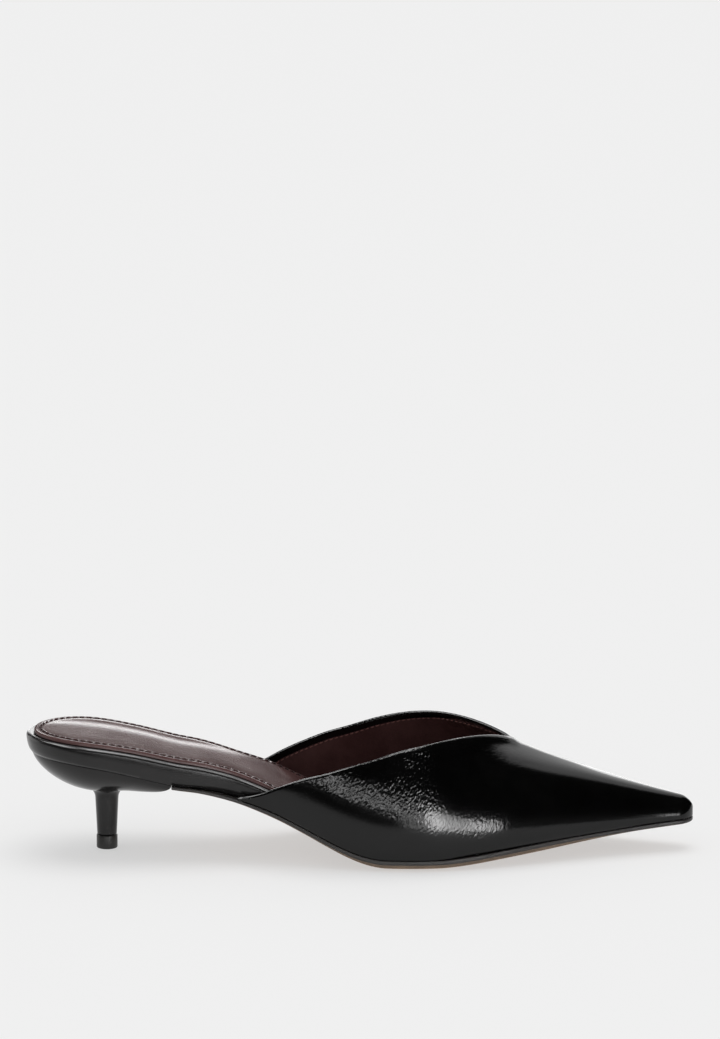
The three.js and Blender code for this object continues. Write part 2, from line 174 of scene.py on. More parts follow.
# Where the wall ends on the outer and on the inner side, from 1 at the sole's edge to 0 at the
# ridge.
TOPLINE = [
    (0.318, 0.997, 0.997),
    (0.335, 0.985, 0.98),
    (0.356, 0.958, 0.949),
    (0.377, 0.919, 0.907),
    (0.413, 0.846, 0.834),
    (0.449, 0.778, 0.763),
    (0.485, 0.706, 0.699),
    (0.521, 0.634, 0.625),
    (0.557, 0.553, 0.549),
    (0.593, 0.464, 0.458),
    (0.629, 0.346, 0.34),
    (0.665, 0.206, 0.196),
    (0.683, 0.136, 0.132),
    (0.701, 0.07, 0.07),
    (0.722, 0.0, 0.0),
]


def clamp(value, low=0.0, high=1.0):
    return min(max(value, low), high)


def ease(value, start, end):
    """0 before start, 1 after end, smooth in between."""
    t = clamp((value - start) / (end - start))
    return t * t * (3 - 2 * t)


def curve(points):
    """A smooth curve through (share of the shoe's length, value) points that never overshoots."""
    at = [point[0] for point in points]
    value = [point[1] for point in points]
    slope = [(value[i + 1] - value[i]) / (at[i + 1] - at[i]) for i in range(len(at) - 1)]
    tangent = []
    for i in range(len(at)):
        before, after = slope[max(i - 1, 0)], slope[min(i, len(slope) - 1)]
        limit = 3 * min(abs(before), abs(after))
        steep = math.copysign(min(abs(before + after) / 2, limit), before)
        tangent.append(steep if before * after > 0 else 0.0)

    def read(share):
        s = clamp(share, at[0], at[-1])
        i = min(bisect.bisect_right(at, s), len(slope)) - 1
        span = at[i + 1] - at[i]
        t = (s - at[i]) / span
        fall = (1 + 2 * t) * (1 - t) ** 2
        bend = t * (1 - t) ** 2 * tangent[i] - t * t * (1 - t) * tangent[i + 1]
        return fall * value[i] + (1 - fall) * value[i + 1] + bend * span

    return read


half_at = curve([(at, size * half) for at, size, half, _ in OUTLINE])
shift_at = curve([(at, size * shift) for at, size, _, shift in OUTLINE])
underside_at = curve([(at, size * rise) for at, size, rise in UNDERSIDE])
lift_at = curve([(at, lift) for at, lift, _ in SOLE_EDGE])
thick_at = curve([(at, thick) for at, _, thick in SOLE_EDGE])
depth_at = curve(FOOTBED)
ridge_at = curve([(at, ridge) for at, ridge, _ in RIDGE])
power_at = curve([(at, power) for at, _, power in RIDGE])
outer_topline_at = curve([(at, outer) for at, outer, _ in TOPLINE])
inner_topline_at = curve([(at, inner) for at, _, inner in TOPLINE])


def shift(x):
    return shift_at(x / SHOE_LENGTH)


def skived(x):
    return OUTSOLE_EDGE * (1 - thick_at(x / SHOE_LENGTH))


def sole_middle(x):
    return underside_at(x / SHOE_LENGTH) + skived(x)


def sole_edge_under(x):
    return sole_middle(x) + EDGE_LIFT * lift_at(x / SHOE_LENGTH)


def sole_top(x):
    return sole_edge_under(x) + OUTSOLE_EDGE - skived(x)


def footbed_top(x):
    depth = FOOTBED_DEPTH * depth_at(x / SHOE_LENGTH)
    return sole_top(x) + depth - INSOLE_THICKNESS - SEAM_GAP


def insole_top(x):
    return footbed_top(x) + SEAM_GAP + INSOLE_THICKNESS


def round_ends(x, start, end):
    """Narrows a board to its round back and toe: 1 along its length, 0 at its two ends."""
    back = max((BACK_RADIUS - x) / (BACK_RADIUS - start), 0.0)
    nose = max((x - end + NOSE_RADIUS) / NOSE_RADIUS, 0.0)
    return math.sqrt(max(1 - back * back, 0.0) * max(1 - nose * nose, 0.0))


def put(point):
    """From the shoe's millimetres to the frame's metres."""
    return Vector(((point.x - SHOE_MIDDLE) * MM, point.y * MM, point.z * MM))


def piece(name, mesh_work, materials, replaces=None, smooth_angle=40):
    """Ends the mesh work, makes it a piece of the shoe and lets it ride on the shoe."""
    for vert in mesh_work.verts:
        vert.co = put(vert.co)
    mesh = bpy.data.meshes.new(name)
    mesh_work.to_mesh(mesh)
    mesh_work.free()
    made = bpy.data.objects.new(name, mesh)
    bpy.context.scene.collection.objects.link(made)
    for material in materials:
        mesh.materials.append(material)
    mesh.shade_smooth()
    mesh.set_sharp_from_angle(angle=math.radians(smooth_angle))
    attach(made, "root")
    if replaces:
        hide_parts(replaces)
    return made


def start_mesh():
    """An empty mesh whose points remember their place along and across the piece."""
    work = bmesh.new()
    work.verts.layers.float.new("along")
    work.verts.layers.float.new("across")
    return work


def mapped_grid(work, columns, rows, surface):
    """A grid laid on a surface: along runs from 0 to 1, across from -1 to 1."""
    along, across = (work.verts.layers.float[name] for name in ("along", "across"))
    made = bmesh.ops.create_grid(work, x_segments=columns, y_segments=rows, size=1)
    for vert in made["verts"]:
        vert[along], vert[across] = (vert.co.x + 1) / 2, vert.co.y
        vert.co = surface(vert[along], vert[across])
    return made["verts"]


def weld(work, distance=1e-4):
    bmesh.ops.remove_doubles(work, verts=work.verts, dist=distance)
    bmesh.ops.dissolve_degenerate(work, edges=work.edges, dist=distance)


def close_and_face_out(work):
    weld(work)
    bmesh.ops.recalc_face_normals(work, faces=work.faces)


def open_edges(work):
    return [edge for edge in work.edges if edge.is_boundary]


def pull_level(work, ring, place, finish=0):
    """Pulls a ring of edges on to its next level, where place(along, across) says."""
    along, across = (work.verts.layers.float[name] for name in ("along", "across"))
    made = bmesh.ops.extrude_edge_only(work, edges=ring)["geom"]
    verts = {item for item in made if isinstance(item, bmesh.types.BMVert)}
    for vert in verts:
        vert.co = place(vert[along], vert[across])
    ring = [
        item
        for item in made
        if isinstance(item, bmesh.types.BMEdge) and all(v in verts for v in item.verts)
    ]
    for edge in ring:
        for face in edge.link_faces:
            face.material_index = finish
    return ring


def board(levels, start, end, columns, rows, beside=lambda x: 0.0, round_back=True):
    """A closed board, from its top grid over levels of its side to its bottom grid.
    A level is (inset, height, hollow, finish): the height of its rim at x, how far
    it is hollowed at x and across, and the number of its material."""
    back_share = 0.22 if round_back else 0.0
    nose_share = 0.1

    def place(level):
        inset, height, hollow, _ = level
        first, last = start + inset, end - inset
        turn_in = BACK_RADIUS if round_back else first

        def at(along, across):
            if along < back_share:
                turn = math.pi / 2 * along / back_share
                x = BACK_RADIUS - (BACK_RADIUS - first) * math.cos(turn)
            elif along > 1 - nose_share:
                turn = math.pi / 2 * (along - 1 + nose_share) / nose_share
                x = last - NOSE_RADIUS + NOSE_RADIUS * math.sin(turn)
            else:
                t = (along - back_share) / (1 - nose_share - back_share)
                x = turn_in + (last - NOSE_RADIUS - turn_in) * t
            ends = round_ends(x, first if round_back else 0.0, last)
            half = (half_at(x / SHOE_LENGTH) - beside(x) - inset) * ends
            z = height(x) - (hollow(x, across) * ends**2 if hollow else 0.0)
            return Vector((x, shift(x) + across * half, z))

        return at

    work = start_mesh()
    for vert in mapped_grid(work, columns, rows, place(levels[0])):
        for face in vert.link_faces:
            face.material_index = levels[0][3]
    weld(work)
    ring = open_edges(work)
    for level in levels[1:]:
        ring = pull_level(work, ring, place(level), level[3])
    for vert in mapped_grid(work, columns, rows, place(levels[-1])):
        for face in vert.link_faces:
            face.material_index = levels[-1][3]
    close_and_face_out(work)
    return work


# The last, and the leather laid over it
UPPER_START = WING_START * SHOE_LENGTH
UPPER_STRAIGHT = SHOE_LENGTH - NOSE_RADIUS - UPPER_START
THROAT = (THROAT_AT * SHOE_LENGTH - UPPER_START) / UPPER_STRAIGHT
NOSE_TURN = math.pi / 2
SWELL_SCALE = 6.75
NUDGE = 0.004

# Creases and soft dents: place along in mm, share across, half length along,
# half width across, depth in mm (below 0 for a soft ridge), lean of the crease.
CREASES = [
    (144.0, 0.60, 24.0, 0.075, 0.18, -0.0020),
    (158.0, 0.44, 15.0, 0.060, 0.10, -0.0030),
    (142.0, 0.72, 18.0, 0.050, -0.12, -0.0024),
    (128.0, 0.78, 12.0, 0.045, 0.08, -0.0030),
    (206.0, 0.55, 20.0, 0.090, 0.06, 0.0010),
]


def last_point(along, across):
    """A point of the last's side and instep. Across is -1 at the outer sole edge, 0 at the
    ridge, 1 at the inner sole edge. Beyond 1, along turns round the nose."""
    turn = max(along - 1, 0.0)
    x = UPPER_START + UPPER_STRAIGHT * min(along, 1.0) + NOSE_RADIUS * math.sin(turn)
    share = x / SHOE_LENGTH
    narrow = math.cos(turn)
    low = sole_top(x) + SEAM_GAP
    height = (ridge_at(share) * THROAT_HEIGHT - low) * (1 - NOSE_DROP * (1 - narrow))
    angle = abs(across) * math.pi / 2
    power = 2 / power_at(share)
    up = max(math.cos(angle), 0.0) ** power
    out = math.sin(angle) ** power
    tall = min(1.0, 2 * height / BALL_WIDTH)
    swell = WALL_BULGE * tall * SWELL_SCALE * up * (1 - up) ** 2
    side = (half_at(share) * out + swell) * narrow
    return Vector((x, shift(x) + math.copysign(side, across), low + height * up))


def last_normal(along, across):
    """The outward direction of the last at a point."""
    if along > 1 + NOSE_TURN - NUDGE:
        return Vector((1, 0, 0))
    ahead = last_point(along + NUDGE, across) - last_point(max(along - NUDGE, 0), across)
    up = last_point(along, min(across + NUDGE, 1)) - last_point(along, max(across - NUDGE, -1))
    return ahead.cross(up).normalized()


def edge_at(along, side):
    """Share across at which the wall ends on a side."""
    if along >= THROAT:
        return 0.0
    share = (UPPER_START + UPPER_STRAIGHT * along) / SHOE_LENGTH
    return outer_topline_at(share) if side < 0 else inner_topline_at(share)


def edge_directions(along, side):
    """The outward direction at the topline, and the direction beyond the edge."""
    def topline(place):
        return last_point(place, side * edge_at(place, side))

    after = min(along + NUDGE, THROAT)
    run = topline(after) - topline(max(after - 2 * NUDGE, 0.0))
    out = last_normal(along, side * max(edge_at(along, side), 0.02))
    beyond = out.cross(run).normalized()
    if beyond.dot(Vector((0, -side, 0.3))) < 0:
        beyond.negate()
    return out, beyond


@functools.cache
def fold_frame(along, side):
    """Topline point, outward direction, direction beyond the edge, and fold radius."""
    here = last_point(along, side * edge_at(along, side))
    out, beyond = edge_directions(along, side)
    if along > THROAT - 1e-6:
        other_out, other_beyond = edge_directions(along, -side)
        out, beyond = (out + other_out) / 2, (beyond + other_beyond) / 2
        out = Vector((out.x, 0, out.z)).normalized()
        flat = Vector((beyond.x, 0, beyond.z))
        beyond = flat / flat.length_squared
    here += out * THROAT_PROUD * ease(along, 0.82 * THROAT, THROAT)
    tall = (here - last_point(along, side)).length
    return here, out, beyond, min(FOLD_RADIUS, 0.42 * tall), tall


def crease_depth(x, across):
    """How far the leather dips at a place, from the listed creases."""
    dip = 0.0
    for at, middle, long, wide, depth, lean in CREASES:
        u = (x - at) / long
        v = (abs(across) - middle - lean * (x - at)) / wide
        if abs(u) < 1 and abs(v) < 2.2:
            dip += depth * (1 - u * u) ** 2 * math.exp(-v * v)
    return dip


def tuck_depth(x, from_edge):
    """How far the leather falls away just below the topline beside the throat."""
    reach = from_edge / TUCK_REACH
    along = ease(x, *TUCK_GROWS) * (1 - ease(x, *TUCK_FADES))
    return THROAT_TUCK * reach * math.exp(1 - reach) * along


def wall_surface(first, last, side, depth, held_back):
    """The wall between two places along, at a depth below the leather's face. Near the
    topline and the throat it is drawn back from the edge by held_back."""

    def at(along, across):
        s = first + (last - first) * along
        t = ((across + 1) / 2) ** ROWS_TO_FOOT
        share = side * (1 + (edge_at(s, side) - 1) * t)
        here = last_point(s, share)
        out = last_normal(s, share)
        foot = ease(t, FOOT_SHARE, 0.0) * FOOT_DRAWN_IN
        creases = crease_depth(here.x, share) * (1 - ease(t, 0.85, 1.0))
        creases += tuck_depth(here.x, abs(share) - edge_at(s, side) + held_back / SIDE_LENGTH)
        here -= out * (depth + foot + creases)
        fade = 1 - ease((s - THROAT) * UPPER_STRAIGHT, 0.0, 16.0)
        if fade > 0:
            _, up, beyond, radius, tall = fold_frame(min(s, THROAT), side)
            back = min(radius + held_back, 0.8 * tall)
            here = here - beyond * back * fade * ease(t, 0.55, 1.0)
            proud = THROAT_PROUD * ease(s, 0.82 * THROAT, THROAT)
            proud *= 1 - ease((s - THROAT) * UPPER_STRAIGHT, 0.0, 5.0)
            here += up * proud * ease(t, 0.9, 1.0)
        if s >= THROAT and t > 1 - 1e-6:
            here.y = shift(here.x)
        return here

    return at


def fold_surface(side, band):
    """The leather rolled over the topline and turned in behind it."""

    def at(along, across):
        s = THROAT * along
        t = (across + 1) / 2
        here, out, beyond, radius, tall = fold_frame(s, side)
        edge = here - beyond * min(radius, 0.8 * tall)
        roll = math.pi * clamp(t / 0.6)
        turned_in = clamp((t - 0.6) / 0.4) * min(band, 0.5 * tall)
        point = edge - out * radius * (1 - math.cos(roll)) + beyond * radius * math.sin(roll)
        return point - beyond * turned_in

    return at


def face_leather_out(work):
    """Turns the sheet so that its good side faces away from the last."""
    weld(work, 2e-3)
    bmesh.ops.recalc_face_normals(work, faces=work.faces)
    outer = max(work.faces, key=lambda face: face.calc_center_median().y)
    if outer.normal.y < 0:
        bmesh.ops.reverse_faces(work, faces=work.faces)


def thicken(made, thickness):
    """Gives a sheet its thickness below its good side, with crisp cut edges."""
    work = bmesh.new()
    work.from_mesh(made.data)
    for edge in open_edges(work):
        edge.smooth = False
    work.to_mesh(made.data)
    work.free()
    solid = made.modifiers.new("thickness", "SOLIDIFY")
    solid.thickness = thickness * MM
    solid.offset = -1
    return made


# Shader work: small helpers, then the effects that several materials share
class Bench:
    """Places and joins shader nodes in one material or group."""

    def __init__(self, tree):
        self.tree = tree
        self.count = 0

    def add(self, kind, inputs=None, **settings):
        made = self.tree.nodes.new(kind)
        made.location = (220 * (self.count % 8), -260 * (self.count // 8))
        self.count += 1
        for name, value in settings.items():
            setattr(made, name, value)
        for name, value in (inputs or {}).items():
            socket = made.inputs[name]
            if isinstance(value, bpy.types.NodeSocket):
                self.tree.links.new(value, socket)
            else:
                socket.default_value = value
        return made

    def math(self, operation, a, b=0.0, **more):
        made = self.add("ShaderNodeMath", {0: a, 1: b}, operation=operation, **more)
        return made.outputs[0]

    def scaled(self, vector, factor):
        inputs = {0: vector, "Scale": factor}
        return self.add("ShaderNodeVectorMath", inputs, operation="SCALE").outputs[0]

    def added(self, a, b):
        return self.add("ShaderNodeVectorMath", {0: a, 1: b}, operation="ADD").outputs[0]

    def mixed(self, factor, a, b):
        inputs = {0: factor, 6: a, 7: b}
        return self.add("ShaderNodeMix", inputs, data_type="RGBA").outputs[2]

    def noise(self, vector, scale, detail=2.0, roughness=0.5, distortion=0.0):
        inputs = {
            "Vector": vector,
            "Scale": scale,
            "Detail": detail,
            "Roughness": roughness,
            "Distortion": distortion,
        }
        return self.add("ShaderNodeTexNoise", inputs)

    def ramp(self, value, low, high, start=0.0, end=1.0):
        inputs = {0: value, 1: low, 2: high, 3: start, 4: end}
        return self.add("ShaderNodeMapRange", inputs, interpolation_type="SMOOTHSTEP").outputs[0]


def effect(name, inputs, outputs, build):
    """A shader node group with named inputs and outputs."""
    tree = bpy.data.node_groups.new(name, "ShaderNodeTree")
    for label, value in inputs.items():
        kind = {3: "NodeSocketVector", 4: "NodeSocketColor"}.get(
            len(value) if isinstance(value, tuple) else 1, "NodeSocketFloat"
        )
        socket = tree.interface.new_socket(label, in_out="INPUT", socket_type=kind)
        if label != "Vector":
            socket.default_value = value
    for label, kind in outputs.items():
        tree.interface.new_socket(label, in_out="OUTPUT", socket_type=f"NodeSocket{kind}")
    bench = Bench(tree)
    given = bench.add("NodeGroupInput").outputs
    bench.add("NodeGroupOutput", build(bench, given))
    return tree


def build_crinkle(bench, given):
    """Fine wrinkles of glazed leather over slower waves, in millimetres of height."""
    place = bench.scaled(given["Vector"], 1000.0)
    wander = bench.noise(place, 0.25, 1.0).outputs["Color"]
    place = bench.added(place, bench.scaled(wander, 1.5))
    lean = {"Vector": place, "Rotation": (0.0, -1.1, 0.0), "Scale": (1.7, 1.0, 1.0)}
    turned = bench.add("ShaderNodeMapping", lean, vector_type="TEXTURE").outputs["Vector"]
    small = bench.math("DIVIDE", 1.0, given["Wrinkle size"])
    wrinkle = bench.noise(turned, small, 0.8, 0.45, 0.2).outputs["Fac"]
    fine = bench.math("MULTIPLY", bench.math("SUBTRACT", wrinkle, 0.5), given["Wrinkle depth"])
    wave = bench.noise(place, bench.math("DIVIDE", 1.0, given["Wave size"]), 1.0).outputs["Fac"]
    wave = bench.math("MULTIPLY", bench.math("SUBTRACT", wave, 0.5), given["Wave depth"])
    return {"Height": bench.math("ADD", fine, wave)}


def build_grain(bench, given):
    """Pores and creased plates of smooth leather."""
    place = bench.scaled(given["Vector"], 1000.0)
    size = bench.math("DIVIDE", 1.0, given["Pore size"])
    plates = bench.add(
        "ShaderNodeTexVoronoi", {"Vector": place, "Scale": size}, feature="DISTANCE_TO_EDGE"
    ).outputs["Distance"]
    plates = bench.ramp(plates, 0.0, 0.22)
    soft = bench.noise(place, bench.math("MULTIPLY", size, 0.4), 3.0).outputs["Fac"]
    height = bench.math("ADD", bench.math("MULTIPLY", plates, 0.6), soft)
    return {"Height": bench.math("MULTIPLY", height, given["Pore depth"])}


def build_handling(bench, given):
    """Finger marks and uneven polish: a roughness that changes over the surface."""
    place = bench.scaled(given["Vector"], 1000.0)
    broad = bench.noise(place, bench.math("DIVIDE", 1.0, given["Patch size"]), 4.0, 0.6)
    change = bench.math("MULTIPLY", bench.math("SUBTRACT", broad.outputs["Fac"], 0.5), 2.0)
    specks = bench.ramp(bench.noise(place, 1.4, 2.0).outputs["Fac"], 0.72, 0.78)
    rough = bench.math("MULTIPLY", change, given["Unevenness"])
    rough = bench.math("ADD", given["Roughness"], rough)
    rough = bench.math("ADD", rough, bench.math("MULTIPLY", specks, given["Dust"]))
    return {"Roughness": rough}


def build_shading(bench, given):
    """Dye that took unevenly: darker and lighter patches with dust specks on top."""
    place = bench.scaled(given["Vector"], 1000.0)
    cloud = bench.noise(place, bench.math("DIVIDE", 1.0, given["Patch size"]), 5.0, 0.62)
    colour = bench.mixed(bench.ramp(cloud.outputs["Fac"], 0.3, 0.7), given["Deep"], given["Light"])
    mottle = bench.noise(place, 2.2, 3.0).outputs["Fac"]
    strength = bench.math("MULTIPLY", bench.ramp(mottle, 0.55, 0.75), given["Mottle"])
    return {"Color": bench.mixed(strength, colour, given["Worn"])}


def build_twist(bench, given):
    """The turns of a sewing thread, as slanting bands. The thread's tones are its own, but the
    grooves between the turns take the deep tone as painted shade.
    """
    place = bench.scaled(given["Vector"], 1000.0)
    wave = bench.add(
        "ShaderNodeTexWave",
        {"Vector": place, "Scale": given["Turns"], "Distortion": 0.6, "Detail": 1.0},
        bands_direction="DIAGONAL",
    ).outputs["Fac"]
    return {"Height": wave, "Color": bench.mixed(wave, given["Deep"], given["Light"])}


BLACK = (0.010, 0.010, 0.011, 1.0)
ANY = (0.0, 0.0, 0.0)
crinkle = effect(
    "crinkle",
    {
        "Vector": ANY, "Wrinkle size": 1.6, "Wrinkle depth": 0.05, "Wave size": 9.0,
        "Wave depth": 0.2,
    },
    {"Height": "Float"},
    build_crinkle,
)
grain = effect(
    "grain",
    {"Vector": ANY, "Pore size": 0.8, "Pore depth": 0.02},
    {"Height": "Float"},
    build_grain,
)
handling = effect(
    "handling",
    {"Vector": ANY, "Roughness": 0.3, "Unevenness": 0.05, "Patch size": 14.0, "Dust": 0.2},
    {"Roughness": "Float"},
    build_handling,
)
shading = effect(
    "shading",
    {
        "Vector": ANY, "Deep": BLACK, "Light": BLACK, "Worn": BLACK, "Patch size": 12.0,
        "Mottle": 0.3,
    },
    {"Color": "Color"},
    build_shading,
)
twist = effect(
    "twist",
    {"Vector": ANY, "Turns": 1.2, "Deep": BLACK, "Light": BLACK},
    {"Height": "Float", "Color": "Color"},
    build_twist,
)


class Finish:
    """A material under way: its bench, the piece's own coordinates and its shader."""

    def __init__(self, name, **sockets):
        self.material = bpy.data.materials.new(name)
        self.material.use_nodes = True
        self.material.node_tree.nodes.clear()
        self.bench = Bench(self.material.node_tree)
        self.place = self.bench.add("ShaderNodeTexCoord").outputs["Object"]
        self.shader = self.bench.add("ShaderNodeBsdfPrincipled", sockets)
        surface = {"Surface": self.shader.outputs[0]}
        self.bench.add("ShaderNodeOutputMaterial", surface)

    def use(self, group, **inputs):
        named = {label.replace("_", " "): value for label, value in inputs.items()}
        named = {"Vector": self.place, **named}
        return self.bench.add("ShaderNodeGroup", named, node_tree=group).outputs

    def wire(self, label, socket):
        self.material.node_tree.links.new(socket, self.shader.inputs[label])

    def bump(self, height, strength=1.0, distance=MM):
        inputs = {"Height": height, "Strength": strength, "Distance": distance}
        self.wire("Normal", self.bench.add("ShaderNodeBump", inputs).outputs["Normal"])

    def dye(self, deep, light, worn, patch, mottle):
        colours = {"Deep": (*deep, 1.0), "Light": (*light, 1.0), "Worn": (*worn, 1.0)}
        dyed = self.use(shading, **colours, Patch_size=patch, Mottle=mottle)
        self.wire("Base Color", dyed["Color"])

    def polish(self, rough, uneven, patch, dust):
        marks = {"Unevenness": uneven, "Dust": dust}
        polished = self.use(handling, Roughness=rough, Patch_size=patch, **marks)
        self.wire("Roughness", polished["Roughness"])


def distance_from(bench, axes, x, z):
    """Distance of a point from a place on the shoe's side, in metres."""
    beside = {0: bench.math("SUBTRACT", axes["X"], x), 2: bench.math("SUBTRACT", axes["Z"], z)}
    reach = {0: bench.add("ShaderNodeCombineXYZ", beside).outputs[0]}
    return bench.add("ShaderNodeVectorMath", reach, operation="LENGTH").outputs["Value"]


def upper_leather():
    """Glazed black leather with a fine crinkle, strongest on the wings and fading to the toe."""
    finish = Finish("upper_leather", **{"Specular IOR Level": 0.34})
    bench = finish.bench
    axes = bench.add("ShaderNodeSeparateXYZ", {0: finish.place}).outputs
    towards_toe = bench.ramp(axes["X"], 0.030, 0.075, 1.0, 0.12)
    from_ball = distance_from(bench, axes, 0.037, 0.020)
    stretched = bench.ramp(from_ball, 0.003, 0.011, 0.3, 1.0)
    from_wing = distance_from(bench, axes, 0.023, 0.037)
    depth = bench.math("MULTIPLY", towards_toe, stretched)
    depth = bench.math("MULTIPLY", depth, bench.ramp(from_wing, 0.005, 0.016, 2.2, 1.0))
    above_waist = bench.math("ADD", axes["Z"], bench.math("MULTIPLY", axes["X"], 0.377))
    depth = bench.math("MULTIPLY", depth, bench.ramp(above_waist, 0.0235, 0.0315, 0.08, 1.0))
    wrinkles = finish.use(
        crinkle,
        Wrinkle_size=0.95,
        Wrinkle_depth=bench.math("MULTIPLY", depth, 0.15),
        Wave_size=11.0,
        Wave_depth=bench.math("MULTIPLY", depth, 0.10),
    )
    finish.bump(wrinkles["Height"])
    finish.dye(
        (0.0003, 0.0003, 0.0003), (0.0008, 0.0008, 0.0008), (0.0025, 0.0022, 0.0022),
        patch=16.0, mottle=0.25,
    )
    finish.polish(rough=0.14, uneven=0.03, patch=18.0, dust=0.05)
    return finish.material


def plain_leather(
    name, deep, light, worn, rough, pore, mottle=0.3, depth=0.02, patch=14.0, specular=0.5
):
    """Smooth leather: pores, uneven dye and uneven polish."""
    finish = Finish(name, **{"Specular IOR Level": specular})
    fine = finish.use(grain, Pore_size=pore, Pore_depth=depth)
    finish.bump(fine["Height"])
    finish.dye(deep, light, worn, patch, mottle)
    finish.polish(rough, uneven=0.06, patch=patch, dust=0.1)
    return finish.material


def heel_gloss():
    """Sprayed black lacquer with a faint orange peel."""
    finish = Finish("heel_gloss", **{"Specular IOR Level": 0.4})
    peel = finish.use(grain, Pore_size=1.9, Pore_depth=0.006)
    finish.bump(peel["Height"])
    finish.dye(
        (0.0025, 0.002, 0.002), (0.005, 0.0045, 0.0045), (0.012, 0.011, 0.011),
        patch=9.0, mottle=0.2,
    )
    finish.polish(rough=0.17, uneven=0.03, patch=10.0, dust=0.1)
    return finish.material


def sewing_thread(name, deep, light):
    finish = Finish(name, **{"Roughness": 0.6, "Sheen Weight": 0.2})
    turns = finish.use(twist, Turns=1.5, Deep=(*deep, 1.0), Light=(*light, 1.0))
    finish.bump(turns["Height"], 0.5, 0.1 * MM)
    # The thread's colour follows its turns: darker in the grooves between them, as painted shade.
    finish.wire("Base Color", turns["Color"])
    return finish.material


glazed = upper_leather()
lining_leather = plain_leather(
    "lining_leather",
    (0.047, 0.018, 0.017), (0.076, 0.033, 0.031), (0.12, 0.062, 0.056),
    rough=0.34, pore=0.7, depth=0.04,
)
rim_leather = plain_leather(
    "rim_leather",
    (0.003, 0.0028, 0.0028), (0.006, 0.0055, 0.0055), (0.015, 0.014, 0.014),
    rough=0.2, pore=0.6, depth=0.012, specular=0.4,
)
insole_leather = plain_leather(
    "insole_leather",
    (0.070, 0.036, 0.035), (0.098, 0.056, 0.054), (0.12, 0.07, 0.068),
    rough=0.24, pore=0.7, mottle=0.12, depth=0.0015, specular=0.4,
)
sole_wax = plain_leather(
    "sole_wax",
    (0.008, 0.007, 0.007), (0.014, 0.012, 0.011), (0.04, 0.03, 0.025),
    rough=0.4, pore=0.5,
)
sole_tan = plain_leather(
    "sole_tan",
    (0.20, 0.115, 0.06), (0.32, 0.20, 0.115), (0.42, 0.29, 0.18),
    rough=0.55, pore=0.6, mottle=0.5, depth=0.03,
)
# Tan sole leather darkened with painted shade, for the strip below the waxed edge.
sole_strip_painted_shade = plain_leather(
    "sole_strip_painted_shade",
    (0.075, 0.05, 0.032), (0.12, 0.082, 0.054), (0.18, 0.13, 0.09),
    rough=0.55, pore=0.6, mottle=0.5, depth=0.03,
)
tip_rubber = plain_leather(
    "tip_rubber",
    (0.005, 0.0045, 0.004), (0.010, 0.009, 0.008), (0.03, 0.028, 0.026),
    rough=0.42, pore=0.4,
)
lacquer = heel_gloss()
insole_thread = sewing_thread("insole_thread", (0.020, 0.002, 0.002), (0.055, 0.009, 0.008))
lining_thread = sewing_thread("lining_thread", (0.16, 0.055, 0.05), (0.32, 0.14, 0.12))


# Upper: glazed leather folded over the topline
WING_COLUMNS, VAMP_COLUMNS, NOSE_COLUMNS = 96, 78, 12
WALL_ROWS, FOLD_ROWS = 50, 13
ROWS_TO_FOOT = 1.4  # rows lie closer together at the foot, where the wall turns most


def leather_sheet(depth, held_back, first=0.0, foldover=None):
    work = start_mesh()
    for side in (-1, 1):
        for begin, end, columns in (
            (first, THROAT, WING_COLUMNS),
            (THROAT, 1.0, VAMP_COLUMNS),
            (1.0, 1 + NOSE_TURN, NOSE_COLUMNS),
        ):
            surface = wall_surface(begin, end, side, depth, held_back)
            mapped_grid(work, columns, WALL_ROWS, surface)
        if foldover:
            mapped_grid(work, WING_COLUMNS, FOLD_ROWS, fold_surface(side, foldover))
    face_leather_out(work)
    return work


vamp_work = leather_sheet(0.0, 0.0, 0.0, FOLD_BAND)
vamp = piece("vamp_leather", vamp_work, [glazed], "upper", 60)
thicken(vamp, LEATHER)

lining_work = leather_sheet(LINING_DEPTH, FOLD_BAND - LINING_OVERLAP, LINING_START)
bmesh.ops.reverse_faces(lining_work, faces=lining_work.faces)
lining = piece("lining", lining_work, [lining_leather], None, 60)
thicken(lining, LINING_THICKNESS)


# Footbed, wrapped in smooth leather, and the sock on it
def inside_upper(x):
    return ease(x, 0.75 * UPPER_START, UPPER_START) * (UPPER_WALL + SEAM_GAP)


def dish(x, across):
    hollow = INSOLE_DISH * (1 - ease(x, BREAST_AT, 1.2 * UPPER_START))
    return hollow * (1 - across**4)


def above(surface, offset):
    return lambda x: surface(x) + offset


def footbed_side(share):
    def at(x):
        low = sole_top(x) + SEAM_GAP
        return low + (footbed_top(x) - low) * share

    return at


def round_corner(surface, radius, inset, count, hollow=None):
    """Levels of a rounded top corner, from the flat on top to the upright side."""
    levels = []
    for k in range(count + 1):
        turn = math.pi / 2 * k / count
        level = above(surface, -radius * (1 - math.cos(turn)))
        levels.append((inset + radius * (1 - math.sin(turn)), level, hollow, 0))
    return levels


footbed_levels = [
    *round_corner(footbed_top, RIM_ROUND, 0.0, 6, dish),
    (0.1, footbed_side(0.62), None, 0),
    (0.45, footbed_side(0.35), None, 0),
    (1.0, footbed_side(0.15), None, 0),
    (FOOTBED_TUCK, footbed_side(0.0), None, 0),
]
footbed_rim = piece(
    "footbed_rim",
    board(footbed_levels, 0.0, FOOTBED_END, 130, 24, inside_upper),
    [rim_leather],
    "footbed",
    60,
)

GROOVE = ((0.0, 0.0), (0.7, 0.05), (1.1, 0.22), (1.4, 0.3), (1.7, 0.22), (2.1, 0.05), (2.8, 0.0))
groove_start = RIM_WIDTH + STITCH_INSET - 1.4
insole_levels = [
    (groove_start + offset, above(insole_top, -drop), dish, 0) for offset, drop in reversed(GROOVE)
]
insole_levels += round_corner(insole_top, 0.95, RIM_WIDTH, 6)
insole_levels.append((RIM_WIDTH, above(footbed_top, 0.05), dish, 0))
insole_sock = piece(
    "insole_sock",
    board(insole_levels, 0.0, FOOTBED_END, 150, 30, inside_upper),
    [insole_leather],
    "insole",
    60,
)
